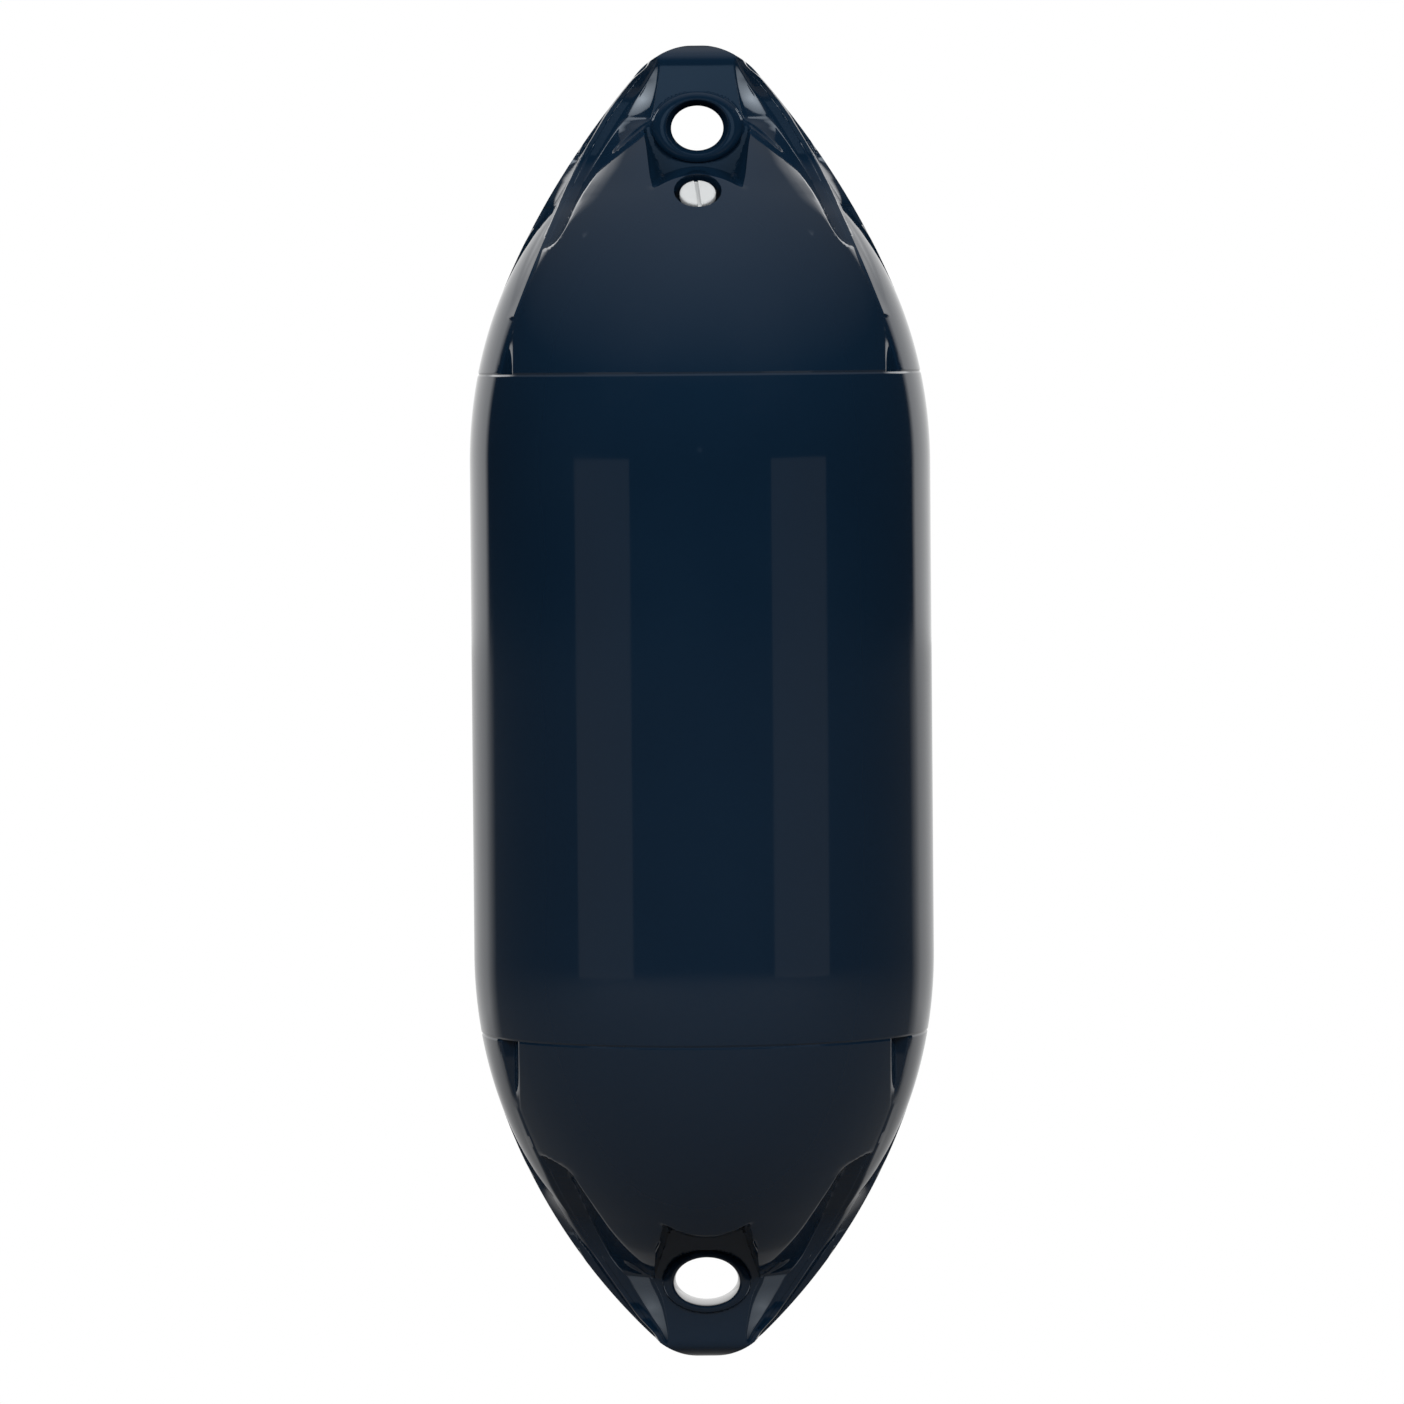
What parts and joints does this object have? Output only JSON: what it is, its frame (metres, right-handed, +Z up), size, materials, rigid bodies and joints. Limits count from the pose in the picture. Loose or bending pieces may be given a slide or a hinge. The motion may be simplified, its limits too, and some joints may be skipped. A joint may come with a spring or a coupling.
{
  "type": "inflatable boat fender",
  "caption": "Cylindrical inflatable fender with domed ends, an oval rope eye in a flat lug at each end and a screwed air valve in the upper dome.",
  "frame": {"origin": "centre of the upper rope eye, on the parting plane of the moulding", "axes": "+Z up along the fender from the lower eye to the upper eye, -Y out of the front face, where the valve is, +X across the lugs"},
  "size_m": [0.21, 0.21, 0.5985],
  "materials": {
    "pvc": "glossy navy blue soft PVC",
    "insert_plastic": "satin black",
    "seal_rubber": "matte black",
    "nylon": "satin white"
  },
  "bodies": {
    "fender": {"fender_body": "pvc", "valve_insert": "insert_plastic"},
    "plug_seal": {"valve_seal": "seal_rubber"},
    "plug": {"valve_screw": "nylon"}
  },
  "joints": [
    {"name": "plug_travel", "type": "slide", "parent": "fender", "child": "plug_seal", "axis": [0, -0.696, 0.7181], "range_m": [0, 0.008]},
    {"name": "screw_turn", "type": "hinge", "parent": "plug_seal", "child": "plug", "pos_m": [0, -0.05903, -0.0289], "axis": [0, -0.696, 0.7181], "range_deg": [0, 1440]}
  ],
  "couplings": [
    {"joint": "screw_turn", "follows": "plug_travel", "rad_per_m": 3141.5}
  ]
}
